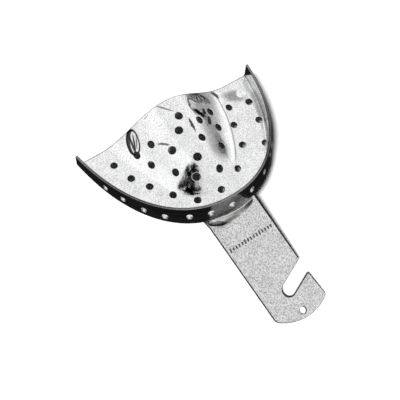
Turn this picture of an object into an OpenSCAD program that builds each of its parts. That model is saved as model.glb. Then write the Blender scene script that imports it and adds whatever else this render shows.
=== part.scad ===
// Perforated upper impression tray: a pressed steel shell with a soldered, bent handle.
// Millimetres. +Z is the side the walls and the palate rise to. The handle points to -Y.

/* [Arch] */
// Half of the tray width across the foot of the side walls
arch_half_width = 37.2; // [35:0.2:40]
// How much further out the right side stands
right_side_out = 0.5; // [0:0.1:1]
// Distance from the centre of the arch curve to the foot of the front wall
arch_depth = 59.2; // [56:0.2:62]
// Fullness of the arch curve, 2 is an ellipse
arch_power = 2.2; // [2.1:0.05:2.5]
// Y of the centre of the arch curve
arch_centre_y = 36; // [34:0.5:38]
// Y of the open back edge
back_edge_y = 22; // [18:0.5:24]
// Sideways slant of the back edge, the right end further back
back_slant = 0.03; // [0:0.01:0.05]
// Length of the tray over which the slant fades out
back_slant_length = 12; // [8:1:16]
// Sheet thickness
sheet = 1; // [0.8:0.1:1.2]

/* [Wall] */
// Wall height at the two back corners
wall_height_back = 7; // [6.5:0.1:9]
// Wall height at the middle of the front
wall_height_front = 9.9; // [9.5:0.1:13]
// How fast the height drops from the front to the sides
wall_height_power = 1; // [0.8:0.1:4]
// Outward lean of the side walls at the rim
side_flare = 0.2; // [0:0.1:3]
// Outward lean of the front wall at the rim, negative where it leans in
front_flare = -1.7; // [-2:0.1:1.5]
// Outside radius between the floor and the wall
foot_radius = 2.4; // [2.2:0.1:2.8]
// How much tighter that radius is at the right side
right_foot_tightening = 0.9; // [0:0.1:0.9]

/* [Palate] */
// Height of the palate at the back edge
palate_height_back = 12; // [9:0.5:14]
// Height of the palate at its front shoulder
palate_height_front = 7; // [5:0.5:10]
// Y of the front shoulder
palate_shoulder_y = 0; // [-3:0.5:2]
// Length of the slope in front of the shoulder
palate_front_slope = 16; // [12:0.5:17]
// Half width of the palate at the back edge
palate_half_width_back = 27; // [24:0.5:28]
// Half width of the palate at the shoulder
palate_half_width_front = 17; // [15:0.5:20]

/* [Perforations] */
// Diameter of the holes in the floor and the wall
hole_diameter = 2.6; // [2:0.1:3]
// Diameter of the holes in the palate
palate_hole_diameter = 2.8; // [2:0.1:3.2]

/* [Handle] */
// Thickness of the handle plate
plate = 1.2; // [1:0.1:1.6]
// Width of the handle
handle_width = 20.4; // [18:0.2:22]
// Sideways position of the middle of the handle
handle_shift = 0.9; // [-1:0.1:2]
// Length from the fold to the crown of the end
handle_length = 45.2; // [44:0.1:50]
// Length of the tab soldered under the floor
tab_length = 6.5; // [5:0.5:7]
// Angle the handle drops by at the fold
drop_angle = 23; // [15:1:30]
// Angle the handle is turned by about the vertical
turn_angle = 7.5; // [0:0.5:10]
// Distance of the fold behind the foot of the front wall
fold_setback = 1.2; // [0.4:0.1:2]
// Inside radius of the fold
fold_radius = 2; // [1.5:0.1:3]
// Diameter of the hanging hole
hanging_hole_diameter = 2.7; // [2.4:0.1:3.2]
// Distance from the fold to the hanging hole
hanging_hole_distance = 42.4; // [41.5:0.1:42.6]
// Sideways position of the hanging hole
hanging_hole_x = 1.4; // [0:0.1:4]
// Radius of the arc that ends the handle
end_radius = 18; // [16:0.5:20]
// Sideways position of the crown of the end
end_centre_x = 3.5; // [1:0.5:4]
// Rounding of the corner beside the hole
left_corner = 2.8; // [1:0.1:3]
// Rounding of the corner of the hook
right_corner = 1.8; // [0.8:0.1:2]
// How far the outer corner of the hook stands out past the long edge
hook_flare = 0.9; // [0.1:0.1:1.2]
// Width of the slot in the hook
slot_width = 5.3; // [4.5:0.1:5.6]
// Distance from the fold to the round end of the slot
slot_distance = 33.6; // [32:0.1:34]
// Sideways position of the round end of the slot
slot_x = 1.5; // [0:0.1:3]
// Angle of the slot to the edge it opens in
slot_angle = 20; // [10:1:25]

/* [Solder] */
// Reach of the solder bead in front of the wall
bead_reach = 2.2; // [1.5:0.1:2.6]
// Height of the solder bead on the wall
bead_height = 2.6; // [2:0.1:3]

/* [Output] */
// Which piece to draw

/* [Hidden] */
columns = 56;
floor_rows = 14;
foot_rows = 4;
wall_rows = 2;
rows = floor_rows + foot_rows + wall_rows;
ring_points = 2 * rows;
fold_outer_radius = fold_radius + plate;
fold_reach = fold_outer_radius * tan(drop_angle / 2);
fold_y = arch_centre_y - arch_depth + fold_setback;
handle_left = handle_shift - handle_width / 2;
handle_right = handle_shift + handle_width / 2;
fold_run = fold_outer_radius * sin(drop_angle);
fold_fall = fold_outer_radius * (1 - cos(drop_angle));
hole_reach = hanging_hole_distance - fold_reach;
hole_turned_y = plate / 2 * sin(drop_angle) - hole_reach * cos(drop_angle) - fold_run;
hole_x = hanging_hole_x * cos(turn_angle) - hole_turned_y * sin(turn_angle);
hole_y = hanging_hole_x * sin(turn_angle) + hole_turned_y * cos(turn_angle) + fold_y;
hole_z = -hole_reach * sin(drop_angle) - plate / 2 * cos(drop_angle) - fold_fall;
end_centre_y = end_radius - handle_length;
fold_steps = 8;
end_margin = 4;
hook_tip_x = handle_right - slot_x - slot_width / 2 * sin(slot_angle);
hook_tip_y = hook_tip_x * tan(slot_angle) - slot_width / 2 * cos(slot_angle) - slot_distance;
hook_root = 1;
bead_start = -12;
bead_end = 13.2;
bead_steps = 14;
bead_sink = 0.3;
bead_drop = 0.7;
bead_fullness = 4;
bead_end_loss = 0.8;
slope_step = 0.1;
shoulder_blend = 0.08;
narrowing_power = 1.5;
drill_length = 8;
drill_facets = 24;
bore_facets = 60;
corner_steps = 8;
end_steps = 24;
slot_steps = 24;

// Hole centres in plan, and angle along the arch with height for those in the wall
floor_holes = [
    [-25.2, 14.2], [-22.7, 6.5], [-18.8, 0.4], [-13.5, -6.7], [-7.3, -12.8],
    [1.9, -13.5], [11.5, -9.4], [18.6, -2.1], [20.5, 6.6], [23, 13.7]
];
corner_holes = [[26.2, -5.6], [29.7, 3.7], [30.9, 12.1]];
palate_holes = [
    [-16.4, 12.6], [-14, 6.7], [-8.7, -0.9], [-3.8, -6.1],
    [4.8, -7.1], [10.6, 0.5], [13.8, 7.6], [14.3, 13.9],
    [-10.8, 12.2], [-6.1, 5.8], [-0.4, -1.1], [4.9, 4.8], [7.9, 11.3],
    [-1, 10.2], [1.6, 14.8]
];
wall_holes = [
    [-61.6, 4.4], [-53, 4.7], [-43, 4.5], [-33, 4.5], [-21, 5.5], [-10, 5.7],
    [0.5, 5.4], [12.7, 5.6], [25, 5.6], [35.5, 5.5]
];

// One level of the arch curve: half width, depth, and angle where it meets the back edge
function back_angle(depth) = acos(pow((arch_centre_y - back_edge_y) / depth, arch_power / 2));
function arch_x(width, a) = width * sign(a) * pow(abs(sin(a)), 2 / arch_power);
function arch_y(depth, a) = arch_centre_y - depth * pow(cos(a), 2 / arch_power);
function arch_point(width, depth, share) =
    let (a = share * back_angle(depth))
    [arch_x(width, a), abs(share) == 1 ? back_edge_y : arch_y(depth, a)];

// Height of the wall over a point of the arch
function wall_height(y) =
    let (share = (back_edge_y - y) / (back_edge_y - arch_centre_y + arch_depth))
    wall_height_back + (wall_height_front - wall_height_back) * pow(max(0, share), wall_height_power);

// Share of the way from the shoulder to the back edge, which starts gently
function back_share(y) =
    let (share = (y - palate_shoulder_y) / (back_edge_y - palate_shoulder_y))
    min(1, shoulder_blend * ln(1 + exp(share / shoulder_blend)));

// Height of the palate over the floor
function palate_half_width(y) =
    let (narrowing = palate_half_width_back - palate_half_width_front)
    palate_half_width_back - narrowing * pow(1 - back_share(y), narrowing_power);
function palate_ridge(y) =
    palate_height_front + (palate_height_back - palate_height_front) * back_share(y);
function palate_reach(x, y) =
    let (across = x / palate_half_width(y), front = max(0, palate_shoulder_y - y) / palate_front_slope)
    min(1, sqrt(across * across + front * front));
function palate(x, y) = palate_ridge(y) * pow(cos(90 * palate_reach(x, y)), 2);
function slope_x(x, y) = (palate(x + slope_step, y) - palate(x - slope_step, y)) / (2 * slope_step);
function slope_y(x, y) = (palate(x, y + slope_step) - palate(x, y - slope_step)) / (2 * slope_step);
function upright_sheet(x, y) = sheet * sqrt(1 + pow(slope_x(x, y), 2) + pow(slope_y(x, y), 2));

// The two sides differ: half width and foot radius by share of the way round the arch
function half_width(share) = arch_half_width + (share > 0 ? right_side_out : 0);
function side_foot_radius(share) = foot_radius - (share > 0 ? right_foot_tightening : 0);
function foot_height(share) = foot_radius - right_foot_tightening * pow(max(0, share), 2);

// A point of the shell: column share -1 to 1, row 1 to rows, side 0 outside or 1 inside
function floor_point(share, row, side) =
    let (edge = arch_point(half_width(share) - side_foot_radius(share), arch_depth - foot_radius, share))
    let (part = row / floor_rows, x = edge[0] * part, y = back_edge_y + (edge[1] - back_edge_y) * part)
    [x, y, palate(x, y) + side * upright_sheet(x, y)];
function foot_point(share, row, side) =
    let (a = 90 * (row - floor_rows) / foot_rows, inner = side * sheet)
    let (side_inset = side_foot_radius(share) - (side_foot_radius(share) - inner) * sin(a))
    let (front_inset = foot_radius - (foot_radius - inner) * sin(a))
    let (p = arch_point(half_width(share) - side_inset, arch_depth - front_inset, share))
    [p[0], p[1], foot_height(share) - (foot_height(share) - inner) * cos(a)];
function wall_point(share, row, side) =
    let (part = (row - floor_rows - foot_rows) / wall_rows, inset = side * sheet)
    let (width = half_width(share) - inset + side_flare * part)
    let (p = arch_point(width, arch_depth - inset + front_flare * part, share))
    [p[0], p[1], foot_height(share) + (wall_height(p[1]) - foot_height(share)) * part];
function slant_share(y) = max(0, min(1, 1 - (back_edge_y - y) / back_slant_length));
function slanted(p) = [p[0], p[1] + back_slant * p[0] * pow(slant_share(p[1]), 2), p[2]];
function shell_point(share, row, side) =
    row <= floor_rows ? slanted(floor_point(share, row, side))
    : row <= floor_rows + foot_rows ? slanted(foot_point(share, row, side))
    : slanted(wall_point(share, row, side));

// Index of a point: each column runs up the outside and back down the inside
function at(column, row, side) = 2 + column * ring_points + (side == 0 ? row - 1 : ring_points - row);
function ring_next(column, k) = 2 + column * ring_points + k;

module shell_sheet() {
    poles = [
        [0, back_edge_y, palate(0, back_edge_y)],
        [0, back_edge_y, palate(0, back_edge_y) + upright_sheet(0, back_edge_y)]
    ];
    body = [
        for (c = [0:columns])
            for (k = [0:ring_points - 1])
                let (share = 2 * c / columns - 1)
                k < rows ? shell_point(share, k + 1, 0) : shell_point(share, ring_points - k, 1)
    ];
    skin = [
        for (c = [0:columns - 1])
            for (k = [0:ring_points - 2])
                for (half = [0:1])
                    half == 0
                    ? [ring_next(c, k), ring_next(c, k + 1), ring_next(c + 1, k + 1)]
                    : [ring_next(c, k), ring_next(c + 1, k + 1), ring_next(c + 1, k)]
    ];
    pole_fans = [
        for (c = [0:columns - 1])
            for (side = [0:1])
                side == 0 ? [0, at(c, 1, 0), at(c + 1, 1, 0)] : [1, at(c + 1, 1, 1), at(c, 1, 1)]
    ];
    left_edge = [
        for (row = [1:rows - 1])
            for (half = [0:1])
                half == 0
                ? [at(0, row, 0), at(0, row, 1), at(0, row + 1, 1)]
                : [at(0, row, 0), at(0, row + 1, 1), at(0, row + 1, 0)]
    ];
    right_edge = [
        for (row = [1:rows - 1])
            for (half = [0:1])
                half == 0
                ? [at(columns, row, 0), at(columns, row + 1, 1), at(columns, row, 1)]
                : [at(columns, row, 0), at(columns, row + 1, 0), at(columns, row + 1, 1)]
    ];
    middle_edge = [
        [0, 1, at(0, 1, 1)],
        [0, at(0, 1, 1), at(0, 1, 0)],
        [0, at(columns, 1, 1), 1],
        [0, at(columns, 1, 0), at(columns, 1, 1)]
    ];
    polyhedron(concat(poles, body), concat(skin, pole_fans, left_edge, right_edge, middle_edge));
}

// A drill standing on the palate along its own slope
module palate_drill(x, y, diameter) {
    tilt_y = atan(slope_x(x, y));
    tilt_x = atan(slope_y(x, y) * cos(tilt_y));
    translate([x, y, palate(x, y) + upright_sheet(x, y) / 2])
        rotate([tilt_x, -tilt_y, 0])
            cylinder(d = diameter, h = drill_length, center = true, $fn = drill_facets);
}

// A drill lying across the wall at a plan angle and height
module wall_drill(a, height) {
    p = [arch_x(half_width(a), a), arch_y(arch_depth, a)];
    q = [arch_x(half_width(a), a + 1), arch_y(arch_depth, a + 1)];
    translate([p[0], p[1], height])
        rotate([0, 0, atan2(q[1] - p[1], q[0] - p[0])])
            rotate([90, 0, 0])
                cylinder(d = hole_diameter, h = drill_length, center = true, $fn = drill_facets);
}

module tray_shell() {
    color([0.8, 0.81, 0.83])
        difference() {
            shell_sheet();
            for (p = floor_holes)
                palate_drill(p[0], p[1], hole_diameter);
            for (p = corner_holes)
                palate_drill(p[0], p[1], hole_diameter);
            for (p = palate_holes)
                palate_drill(p[0], p[1], palate_hole_diameter);
            for (p = wall_holes)
                wall_drill(p[0], p[1]);
        }
}

// Frame of the handle: origin on the fold, turned with the handle
module handle_frame() {
    translate([0, fold_y, 0])
        rotate([0, 0, turn_angle])
            children();
}

// Centre of a corner rounding that touches the arc of the end and one long edge
function corner_x(side, radius) = side < 0 ? handle_left + radius : handle_right + hook_flare - radius;
function corner_y(side, radius) =
    end_centre_y - sqrt(pow(end_radius - radius, 2) - pow(corner_x(side, radius) - end_centre_x, 2));
function corner_angle(side, radius) =
    360 + atan2(corner_y(side, radius) - end_centre_y, corner_x(side, radius) - end_centre_x);
function arc(x, y, radius, from, to, steps) = [
    for (i = [0:steps])
        let (a = from + (to - from) * i / steps)
        [x + radius * cos(a), y + radius * sin(a)]
];

// Side view of the whole handle as [towards the back, up], from the tab over the fold to the end
module handle_side() {
    slope = [-cos(drop_angle), -sin(drop_angle)];
    through = [plate * sin(drop_angle), -plate * cos(drop_angle)];
    over = arc(0, -fold_outer_radius, fold_outer_radius, 90, 90 + drop_angle, fold_steps);
    under = arc(0, -fold_outer_radius, fold_radius, 90 + drop_angle, 90, fold_steps);
    far_end = over[fold_steps] + slope * (handle_length - fold_reach + 1);
    polygon(concat([[tab_length, 0]], over, [far_end, far_end + through], under, [[tab_length, -plate]]));
}

// What is cut away around the rounded end
module end_waste() {
    left_angle = corner_angle(-1, left_corner);
    right_angle = corner_angle(1, right_corner);
    left_x = corner_x(-1, left_corner);
    left_y = corner_y(-1, left_corner);
    right_x = corner_x(1, right_corner);
    right_y = corner_y(1, right_corner);
    left_arc = arc(left_x, left_y, left_corner, 180, left_angle, corner_steps);
    end_arc = arc(end_centre_x, end_centre_y, end_radius, left_angle, right_angle, end_steps);
    right_arc = arc(right_x, right_y, right_corner, right_angle, 360, corner_steps);
    inner_end = [for (i = [1:end_steps - 1]) end_arc[i]];
    low = -handle_length - end_margin;
    near_side = [[handle_left - end_margin, low], [handle_left - end_margin, left_y]];
    far_side = [[handle_right + end_margin, right_y], [handle_right + end_margin, low]];
    polygon(concat(near_side, left_arc, inner_end, right_arc, far_side));
}

// The sliver by which the hook widens from its tip to its outer corner
module hook_outline() {
    outer_y = corner_y(1, right_corner);
    root_x = handle_right - hook_root;
    flared_x = handle_right + hook_flare;
    low = -handle_length - hook_root;
    tip = [handle_right, hook_tip_y];
    polygon([[root_x, low], [flared_x, low], [flared_x, outer_y], tip, [root_x, hook_tip_y]]);
}

module slot_outline() {
    bottom = arc(slot_x, -slot_distance, slot_width / 2, 90 + slot_angle, 270 + slot_angle, slot_steps);
    way_out = handle_width * [cos(slot_angle), sin(slot_angle)];
    polygon(concat(bottom, [bottom[slot_steps] + way_out, bottom[0] + way_out]));
}

module handle_cuts() {
    linear_extrude(height = 2 * plate)
        end_waste();
    translate([hanging_hole_x, -hanging_hole_distance])
        cylinder(d = hanging_hole_diameter, h = 2 * plate, $fn = bore_facets);
    linear_extrude(height = 2 * plate)
        slot_outline();
}

module handle_plate() {
    color([0.82, 0.82, 0.84])
        handle_frame()
            difference() {
                union() {
                    translate([handle_left, 0, 0])
                        rotate([90, 0, 90])
                            linear_extrude(height = handle_width)
                                handle_side();
                    translate([0, -fold_run, -fold_fall])
                        rotate([drop_angle, 0, 0])
                            translate([0, fold_reach, -plate])
                                linear_extrude(height = plate)
                                    hook_outline();
                }
                translate([0, -fold_run, -fold_fall])
                    rotate([drop_angle, 0, 0])
                        translate([0, fold_reach, -1.5 * plate])
                            handle_cuts();
            }
}

// Cross section of the bead as [distance out from the wall foot, height]: hollow below, full above
bead_face = [[0.7, 0.12], [0.42, 0.36], [0.26, 0.72]];
bead_face_points = [for (s = bead_face) [bead_reach * s[0], bead_height * s[1]]];
function under_foot(a) = [foot_radius * (sin(a) - 1), foot_radius * (1 - cos(a))];
function bead_section(share) = [
    [under_foot(30)[0], -bead_sink],
    [bead_reach, -bead_sink - bead_drop * share],
    each bead_face_points,
    [0, bead_height],
    under_foot(70),
    under_foot(50),
    under_foot(30)
];

module solder_bead() {
    points_round = len(bead_section(0));
    body = [
        for (i = [0:bead_steps])
            let (share = i / bead_steps, a = bead_start + (bead_end - bead_start) * share)
            let (p = [arch_x(half_width(a), a), arch_y(arch_depth, a)])
            let (q = [arch_x(half_width(a), a + 1), arch_y(arch_depth, a + 1)])
            let (along = (q - p) / norm(q - p))
            let (size = sqrt(1 - bead_end_loss * pow(abs(2 * share - 1), bead_fullness)))
            for (s = bead_section(share))
                let (out = s[0] < 0 ? s[0] : s[0] * size, up = s[1] < 0 ? s[1] : s[1] * size)
                [p[0] + along[1] * out, p[1] - along[0] * out, up]
    ];
    skin = [
        for (i = [0:bead_steps - 1])
            for (k = [0:points_round - 1])
                let (n = (k + 1) % points_round, here = i * points_round, next = here + points_round)
                for (half = [0:1])
                    half == 0 ? [here + k, next + k, next + n] : [here + k, next + n, here + n]
    ];
    start_cap = [[for (k = [0:points_round - 1]) k]];
    end_cap = [[for (k = [points_round - 1:-1:0]) bead_steps * points_round + k]];
    color([0.86, 0.86, 0.85])
        polyhedron(body, concat(skin, start_cap, end_cap));
}

// Puts the centre of the hanging hole at the origin
module from_hanging_hole() {
    translate([-hole_x, -hole_y, -hole_z])
        children();
}

from_hanging_hole() tray_shell();
from_hanging_hole() handle_plate();
from_hanging_hole() solder_bead();
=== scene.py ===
"""Perforated steel upper impression tray with a soldered, bent handle, on a plain pale floor."""
import math
import random

import bmesh
import bpy
import numpy as np
from mathutils import Matrix, Vector
from mathutils.geometry import delaunay_2d_cdt


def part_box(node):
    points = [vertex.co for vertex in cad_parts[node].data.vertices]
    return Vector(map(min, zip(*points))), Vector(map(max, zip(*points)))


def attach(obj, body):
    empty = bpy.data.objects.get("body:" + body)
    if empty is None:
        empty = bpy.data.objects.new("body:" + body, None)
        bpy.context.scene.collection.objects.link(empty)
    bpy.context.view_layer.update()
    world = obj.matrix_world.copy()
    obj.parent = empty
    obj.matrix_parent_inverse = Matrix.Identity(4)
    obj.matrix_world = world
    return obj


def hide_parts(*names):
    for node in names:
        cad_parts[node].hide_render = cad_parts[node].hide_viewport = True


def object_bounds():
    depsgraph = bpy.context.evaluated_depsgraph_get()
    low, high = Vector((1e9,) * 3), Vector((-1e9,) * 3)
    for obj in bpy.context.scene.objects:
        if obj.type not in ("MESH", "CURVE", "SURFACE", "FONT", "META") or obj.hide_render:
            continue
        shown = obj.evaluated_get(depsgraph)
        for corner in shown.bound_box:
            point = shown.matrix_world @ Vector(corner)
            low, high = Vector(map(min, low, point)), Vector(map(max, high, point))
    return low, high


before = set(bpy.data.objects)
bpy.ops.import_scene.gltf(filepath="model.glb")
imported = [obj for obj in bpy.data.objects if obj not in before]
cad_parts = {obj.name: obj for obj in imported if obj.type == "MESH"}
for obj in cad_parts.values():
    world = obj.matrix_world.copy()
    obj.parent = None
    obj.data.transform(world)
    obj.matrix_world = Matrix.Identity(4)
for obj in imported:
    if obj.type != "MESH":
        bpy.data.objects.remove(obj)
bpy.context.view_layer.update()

MM = 0.001

# ---- the tray's own axes: x across, y 0 to the back edge, z 0 at the underside of the floor, in millimetres
shell_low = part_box("tray_shell")[0]
SHEET = 1.0
ARCH_POWER, CENTRE_Y, BACK_Y = 2.2, 36.0, 22.0
ARCH_WIDTH, ARCH_DEPTH = 37.2, 59.2
RIGHT_OUT, RIGHT_TIGHTER = 0.5, 0.9      # the right side stands further out on a tighter foot
FOOT_RADIUS = 2.4
SIDE_FLARE, FRONT_FLARE = 0.2, -1.7
WALL_BACK, WALL_FRONT, WALL_POWER = 7.0, 9.9, 1.0
PALATE_BACK, PALATE_FRONT = 12.0, 7.0
SHOULDER_Y, FRONT_SLOPE, SHOULDER_BLEND = 0.0, 16.0, 0.08
BACK_SLANT, SLANT_LENGTH = 0.03, 12.0
PALATE_WIDE_BACK, PALATE_WIDE_FRONT, NARROWING_POWER = 27.0, 17.0, 1.5
PLATE = 1.2
FOLD_ANGLE, TURN_ANGLE = math.radians(23), math.radians(7.5)
FOLD_RADIUS = 2.0
# the widest place of the rim is its left back corner, this share of the full half width
corner_share = (1 - ((CENTRE_Y - BACK_Y) / (ARCH_DEPTH + FRONT_FLARE)) ** ARCH_POWER) ** (1 / ARCH_POWER)
ORIGIN = Vector((shell_low.x + (ARCH_WIDTH + SIDE_FLARE) * corner_share * MM,
                 shell_low.y + (ARCH_DEPTH - CENTRE_Y) * MM, shell_low.z))

# x and y of the floor and palate holes, angle in degrees round the arch and height of the wall holes
FLOOR_HOLES = [(-25.2, 14.2), (-22.7, 6.5), (-18.8, 0.4), (-13.5, -6.7), (-7.3, -12.8),
               (1.9, -13.5), (11.5, -9.4), (18.6, -2.1), (20.5, 6.6), (23, 13.7),
               (26.2, -5.6), (29.7, 3.7), (30.9, 12.1)]
PALATE_HOLES = [(-16.4, 12.6), (-14, 6.7), (-8.7, -0.9), (-3.8, -6.1), (4.8, -7.1), (10.6, 0.5),
                (13.8, 7.6), (14.3, 13.9), (-10.8, 12.2), (-6.1, 5.8), (-0.4, -1.1), (4.9, 4.8),
                (7.9, 11.3), (-1, 10.2), (1.6, 14.8)]
WALL_HOLES = [(-61.6, 4.4), (-53, 4.7), (-43, 4.5), (-33, 4.5), (-21, 5.6), (-10, 5.8),
              (0.5, 5.5), (12.7, 5.7), (25, 5.6), (35.5, 5.5)]
FLOOR_HOLE_R, PALATE_HOLE_R, WALL_HOLE_R = 1.3, 1.4, 1.1
DRAWN_NARROW, DRAWN_BEFORE = 0.82, -8      # holes left of this x were narrowed as the sheet was drawn


def link(name, mesh):
    obj = bpy.data.objects.new(name, mesh)
    bpy.context.scene.collection.objects.link(obj)
    return obj


# ---- the shell's surface
def palate(x, y):
    """Height of the palate; the way back starts gently, so that no crease shows across the shoulder."""
    share = (y - SHOULDER_Y) / (BACK_Y - SHOULDER_Y)
    share = np.clip(SHOULDER_BLEND * np.logaddexp(0, share / SHOULDER_BLEND), 0, 1)
    wide = PALATE_WIDE_BACK - (PALATE_WIDE_BACK - PALATE_WIDE_FRONT) * (1 - share) ** NARROWING_POWER
    ridge = PALATE_FRONT + (PALATE_BACK - PALATE_FRONT) * share
    reach = np.hypot(x / wide, np.maximum(0, SHOULDER_Y - y) / FRONT_SLOPE)
    return ridge * np.cos(np.pi / 2 * np.minimum(1, reach)) ** 2


def back_angle(depth):
    """Angle at which an arch of this depth meets the back edge."""
    depth = np.maximum(depth, CENTRE_Y - BACK_Y + 1)
    return np.arccos(((CENTRE_Y - BACK_Y) / depth) ** (ARCH_POWER / 2))


def wall_height(y):
    """Height of the wall's rim at a distance back."""
    share = np.clip((BACK_Y - y) / (BACK_Y - CENTRE_Y + ARCH_DEPTH), 0, 1)
    return WALL_BACK + (WALL_FRONT - WALL_BACK) * share ** WALL_POWER


FLOOR_DEPTH = ARCH_DEPTH - FOOT_RADIUS
FOOT_LENGTH = FOOT_RADIUS * math.pi / 2
BACK_TRIM = 0.08   # keeps the leaning ends of the walls behind the back edge's plane
WALL_LENGTH = 6.0  # the flat pattern's height of the wall above its foot
PATTERN_SIZE = 34.0  # the flat pattern's length for one whole step of rho
PATTERN_RHO = 1 + (FOOT_LENGTH + WALL_LENGTH) / PATTERN_SIZE  # the flat pattern's rim
PATTERN_STEP = (PATTERN_RHO - 1) / (FOOT_LENGTH + WALL_LENGTH)


def half_width(side):
    """Half width of the arch on the side that the sign of `side` names, right if positive."""
    return ARCH_WIDTH + np.where(np.asarray(side) > 0, RIGHT_OUT, 0.0)


def side_foot(side):
    """Foot radius on that side, in plan."""
    return FOOT_RADIUS - np.where(np.asarray(side) > 0, RIGHT_TIGHTER, 0.0)


def pattern_polar(x, y):
    """Flat pattern point to (rho, angle) of the arch family."""
    u, v = np.abs(x) / (half_width(x) - side_foot(x)), np.maximum(1e-9, (CENTRE_Y - y) / FLOOR_DEPTH)
    rho = (u ** ARCH_POWER + v ** ARCH_POWER) ** (1 / ARCH_POWER)
    angle = np.arctan2(u ** (ARCH_POWER / 2), v ** (ARCH_POWER / 2)) * np.sign(x)
    return rho, angle


def pattern_point(rho, angle):
    s, c = np.abs(np.sin(angle)) ** (2 / ARCH_POWER), np.cos(angle) ** (2 / ARCH_POWER)
    floor_width = half_width(angle) - side_foot(angle)
    return floor_width * rho * s * np.sign(angle), CENTRE_Y - FLOOR_DEPTH * rho * c


def foot_height(share):
    """Height of the foot's rounding, a share of the way from the front to the right back corner."""
    return FOOT_RADIUS - RIGHT_TIGHTER * np.clip(share, 0, 1) ** 2


def under_surface(x, y):
    """The underside and outside of the sheet over flat pattern points, in tray millimetres."""
    rho, angle = pattern_polar(x, y)
    length = np.maximum(0, rho - 1) / PATTERN_STEP
    bend = np.minimum(length / FOOT_RADIUS, math.pi / 2)
    part = np.maximum(0, length - FOOT_LENGTH) / WALL_LENGTH
    width = half_width(x) - side_foot(x) * (1 - np.sin(bend)) + SIDE_FLARE * part
    depth = ARCH_DEPTH - FOOT_RADIUS * (1 - np.sin(bend)) + FRONT_FLARE * part
    share = angle / back_angle(FLOOR_DEPTH * rho)
    foot = foot_height(share)
    a = np.clip(share * back_angle(depth), -math.pi / 2, math.pi / 2)
    wx = width * np.abs(np.sin(a)) ** (2 / ARCH_POWER) * np.sign(a)
    wy = CENTRE_Y - depth * np.cos(a) ** (2 / ARCH_POWER)
    wz = np.where(part > 0, foot + (wall_height(wy) - foot) * part, foot * (1 - np.cos(bend)))
    on_floor = rho <= 1
    px, py = np.where(on_floor, x, wx), np.where(on_floor, y, wy)
    slant = np.clip(1 - (BACK_Y - py) / SLANT_LENGTH, 0, 1) ** 2
    return np.stack([px, py + BACK_SLANT * px * slant, np.where(on_floor, palate(x, y), wz)], -1)


# ---- a sheet of metal with rounded edges, holes and shallow stamped pockets
EDGE_STEPS = 5          # facets round each quarter circle of an edge
SIDE_SHARE = 0.35       # faces of the outer edge that look sideways this much show cut metal, painted dark as the edge's outline shade
PROBE = 0.02            # step for slopes and directions
ROW_PITCH = 0.866       # rows of the grid, as a share of its spacing
GRID_GAP = 0.62         # how near the grid comes to a loop, as a share of its spacing
RING_GAP = 0.72         # how near a ring comes to another loop, as a share of its own distance
CROSSING_GAP = 0.12     # how near two rings come to each other
POINT_GAP = 0.1         # how near any two free points come
# rows down a pocket's side: distance in, share of the depth, and its normal's parts up and sideways
POCKET_SIDE = ((0.02, 0.35, 0.7, 0.7), (0.05, 0.8, 0.3, 0.9), (0.09, 1.0, 1.0, 0.1))


def unit_rows(v):
    return v / np.maximum(1e-12, np.linalg.norm(v, axis=-1, keepdims=True))


def surface_normal(surface, x, y):
    du = surface(x + PROBE, y) - surface(x - PROBE, y)
    dv = surface(x, y + PROBE) - surface(x, y - PROBE)
    return unit_rows(np.cross(du, dv))


def inward(loop, clockwise):
    """Unit directions into the metal at the points of a closed flat loop."""
    before, after = np.roll(loop, 1, 0), np.roll(loop, -1, 0)
    a, b = unit_rows(loop - before), unit_rows(after - loop)
    n = unit_rows(np.stack([-a[:, 1] - b[:, 1], a[:, 0] + b[:, 0]], 1))
    turn = np.clip((a * b).sum(1), -0.5, 1)
    n /= np.sqrt((1 + turn) / 2)[:, None]
    area = 0.5 * np.sum(loop[:, 0] * after[:, 1] - after[:, 0] * loop[:, 1])
    return n if (area > 0) != clockwise else -n


def inside(points, loop):
    x, y = points[:, 0][:, None], points[:, 1][:, None]
    ax, ay = loop[:, 0][None], loop[:, 1][None]
    bx, by = np.roll(loop, -1, 0)[:, 0][None], np.roll(loop, -1, 0)[:, 1][None]
    crosses = (ay > y) != (by > y)
    with np.errstate(divide="ignore", invalid="ignore"):
        at = (bx - ax) * (y - ay) / (by - ay) + ax
    return (np.sum(crosses & (x < at), 1) % 2) == 1


def far_from(points, loop, gap, batch=2000):
    keep = np.ones(len(points), bool)
    for start in range(0, len(points), batch):
        part = points[start:start + batch]
        keep[start:start + batch] = np.linalg.norm(part[:, None] - loop[None], axis=2).min(1) > gap
    return keep


def spaced(points, fixed, gap):
    """Drops free points that crowd an earlier one; the first `fixed` points all stay."""
    cells, kept = {}, []
    for i, p in enumerate(points):
        cx, cy = int(p[0] // gap), int(p[1] // gap)
        near = [q for ix in (-1, 0, 1) for iy in (-1, 0, 1) for q in cells.get((cx + ix, cy + iy), ())]
        if i >= fixed and any(math.hypot(q[0] - p[0], q[1] - p[1]) < gap for q in near):
            continue
        cells.setdefault((cx, cy), []).append(p)
        kept.append(p)
    return np.array(kept)


def ring_rows(loops, growing, distances):
    """Rows of points that follow the edges at these distances, clear of the other loops and rows."""
    rows = []
    for distance in distances:
        for loop_at in growing:
            row = loop_at(distance)
            ok = inside(row, loops[0])
            for k, other in enumerate(loops):
                ok &= far_from(row, other, distance * RING_GAP)
                if k > 0:
                    ok &= ~inside(row, other)
            for other in rows:
                if len(other):
                    ok &= far_from(row, other, CROSSING_GAP)
            rows.append(row[ok])
    return rows


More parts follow.
